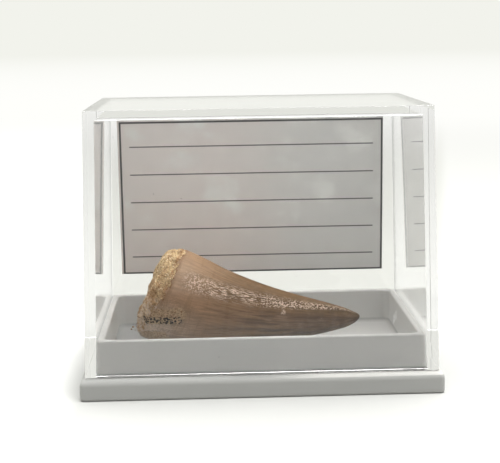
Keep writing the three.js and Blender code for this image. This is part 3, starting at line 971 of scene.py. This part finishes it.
def grown(piece, tree, name, values):
    """A plain mesh made from a piece by a Geometry Nodes tree, with the tree's named inputs set."""
    modifier = piece.modifiers.new(tree.name, "NODES")
    modifier.node_group = tree
    for socket in tree.interface.items_tree:
        if socket.in_out == "INPUT" and socket.name in values:
            modifier[socket.identifier] = values[socket.name]
    depsgraph = bpy.context.evaluated_depsgraph_get()
    mesh = bpy.data.meshes.new_from_object(piece.evaluated_get(depsgraph), depsgraph=depsgraph)
    mesh.name = name
    piece.modifiers.remove(modifier)
    return mesh


tooth_solid = new_piece("tooth_solid", tooth_maker)
ring_values = {name: [np.broadcast_to(row[index], TOOTH_SIDES) for row in tooth_rows]
               for index, name in ((1, "root"), (2, "crack"))}
for name, values in ring_values.items():
    ends = [values[0].mean(), values[-1].mean()]
    attribute = tooth_solid.data.attributes.new(name, "FLOAT", "POINT")
    attribute.data.foreach_set("value", np.concatenate([*values, ends]).astype(np.float32))
# wrap unrolls the skin: how far along it lies, in millimetres, and its place on a round of one radius
wrap_sides = [-WRAP_RADIUS * tooth_front, WRAP_RADIUS * tooth_up]
wrap_rows = [np.stack([np.full(TOOTH_SIDES, row[3]), *wrap_sides], 1) for row in tooth_rows]
wrap_ends = [[wrap_rows[0][0][0], 0, 0], [wrap_rows[-1][0][0], 0, 0]]
attribute = tooth_solid.data.attributes.new("wrap", "FLOAT_VECTOR", "POINT")
attribute.data.foreach_set("vector", np.concatenate([*wrap_rows, wrap_ends]).astype(np.float32).ravel())
tooth_mesh = grown(tooth_solid, relief_tree(), "fossil_tooth", RELIEF)
bpy.data.objects.remove(tooth_solid)
tooth = bpy.data.objects.new("fossil_tooth", tooth_mesh)
scene.collection.objects.link(tooth)
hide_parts("tooth")
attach(tooth, "root")


# Root sand
# Grains of the sandy rock that the tooth was dug from.
# They were never cleaned off, and are stuck to its root and in the cracked streak.
SAND = {
    "Grain Radius": 0.00017,
    "Root Density": 7.0e6,
    "Streak Density": 6.0e6,
    "Sink": 0.00003,
    "Seed": 11,
}
GRAIN_SMALLEST = (0.45, 0.45, 0.35)
GRAIN_LARGEST = (1.3, 1.2, 0.9)
GRAIN_TURN = (6.28, 6.28, 6.28)
TONE_SEED = 5
SIZE_SEED = 7
TURN_SEED = 9
SAND_TAN = (0.6, 0.4, 0.19)
SAND_CREAM = (0.9, 0.74, 0.5)
STREAK_BROWN = (0.1, 0.06, 0.04)
STREAK_PALE = (0.4, 0.28, 0.19)


def sand_grains():
    """Matt grains, cream to rust brown on the root, and black with a few pale ones in the streak."""
    material, field = new_material("sand_grains")
    tone = field.add("ShaderNodeAttribute", "Fac", attribute_name="tone")
    crack = field.add("ShaderNodeAttribute", "Fac", attribute_name="crack")
    level = field.add("ShaderNodeTexCoord", "Object").part(2) * 1000
    sandy = field.add("ShaderNodeValToRGB", sockets={0: tone + 0.05 * (level - 14.0)}, stops=[
        (0.1, RUST_BROWN), (0.3, OCHRE_BROWN), (0.6, SAND_TAN), (0.85, SAND_CREAM)])
    dark = field.add("ShaderNodeValToRGB", sockets={0: tone}, stops=[
        (0.5, STREAK_DARK), (0.7, STREAK_BROWN), (0.85, STREAK_PALE)])
    shader = field.add("ShaderNodeBsdfPrincipled", sockets={
        "Base Color": crack.step(0.2, 0.45).mix(sandy, dark), "Roughness": 0.9, "IOR": 1.5,
        "Specular IOR Level": 0.15})
    field.add("ShaderNodeOutputMaterial", sockets={"Surface": shader})
    return material


def sand_tree():
    """Small rounded grains of mixed size and tone, scattered where the tooth is rough or cracked."""
    tree, field, given = new_tree("stuck_sand", SAND)
    rough, crack = (
        field.add("GeometryNodeInputNamedAttribute", sockets={"Name": name}, data_type="FLOAT")
        for name in ("rough", "crack"))
    place = field.add("GeometryNodeInputPosition").in_mm()
    patchy = place.noise(0.7, 3.0, 0.6).step(0.42, 0.62)
    density = given["Root Density"] * (rough * (0.25 + 0.75 * patchy)).step(0.2, 1.0)
    density = density + given["Streak Density"] * crack.step(0.25, 0.8)
    points = field.add("GeometryNodeDistributePointsOnFaces", "Points", {
        "Mesh": given["Mesh"], "Density": density, "Seed": given["Seed"]})
    normal = Field(tree, points.socket.node.outputs["Normal"])
    sunk = normal.add("ShaderNodeVectorMath", operation="SCALE",
                      sockets={0: normal, "Scale": -1.0 * given["Sink"]})
    points = field.add("GeometryNodeSetPosition", sockets={0: points, "Offset": sunk})
    tone = field.add("FunctionNodeRandomValue", 1, {2: 0.0, 3: 1.0, "Seed": TONE_SEED}, data_type="FLOAT")
    points = field.add("GeometryNodeStoreNamedAttribute", data_type="FLOAT", domain="POINT",
                       sockets={"Geometry": points, "Name": "tone", "Value": tone})
    grain = field.add("GeometryNodeMeshIcoSphere", sockets={
        "Radius": given["Grain Radius"], "Subdivisions": 1})
    grain = field.add("GeometryNodeSetShadeSmooth", sockets={0: grain})
    size = {0: GRAIN_SMALLEST, 1: GRAIN_LARGEST, "Seed": SIZE_SEED}
    size = field.add("FunctionNodeRandomValue", 0, size, data_type="FLOAT_VECTOR")
    turn = {0: (0, 0, 0), 1: GRAIN_TURN, "Seed": TURN_SEED}
    turn = field.add("FunctionNodeRandomValue", 0, turn, data_type="FLOAT_VECTOR")
    grains = field.add("GeometryNodeInstanceOnPoints", sockets={
        "Points": points, "Instance": grain, "Rotation": turn, "Scale": size})
    grains = field.add("GeometryNodeRealizeInstances", sockets={0: grains})
    grains = field.add("GeometryNodeSetMaterial", sockets={0: grains, "Material": sand_grains()})
    field.add("NodeGroupOutput", sockets={0: grains})
    return tree


sand_mesh = grown(tooth, sand_tree(), "root_sand", SAND)
root_sand = bpy.data.objects.new("root_sand", sand_mesh)
scene.collection.objects.link(root_sand)
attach(root_sand, "root")


# Crumbs
# Three dark crumbs of the same rock, which fell from the root.
# They lie loose on the tray's floor beside it.
CRUMBS = (((-22.62, 15.0), 0.42), ((-22.83, 13.5), 0.34), ((-22.1, 12.9), 0.2))
CRUMB_ROUGHNESS = 0.3
CRUMB_SHAPE = Vector((1.15, 1.0, 0.8))
CRUMB_RISE = 0.4


def crumb_rock():
    """Dull dark rock with ochre patches."""
    material, field = new_material("crumb_rock")
    tone = field.add("ShaderNodeTexCoord", "Object").in_mm().noise(5.0, 3.0)
    shader = field.add("ShaderNodeBsdfPrincipled", sockets={
        "Base Color": tone.step(0.35, 0.65).mix(STREAK_DARK, OCHRE_BROWN),
        "Roughness": 0.85, "IOR": 1.5})
    field.add("ShaderNodeOutputMaterial", sockets={"Surface": shader})
    return material


crumb_maker = bmesh.new()
for (crumb_x, crumb_y), crumb_size in CRUMBS:
    stone = bmesh.ops.create_icosphere(crumb_maker, subdivisions=2, radius=crumb_size / 2000)["verts"]
    place = Vector((crumb_x / 1000, crumb_y / 1000, TRAY_FLOOR + CRUMB_RISE * crumb_size / 1000))
    for vertex in stone:
        swell = 1 + CRUMB_ROUGHNESS * noise.noise(vertex.co * 6000 + place * 1000)
        vertex.co = vertex.co * CRUMB_SHAPE * swell + place
crumbs = new_piece("rock_crumbs", crumb_maker, crumb_rock())
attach(crumbs, "root")
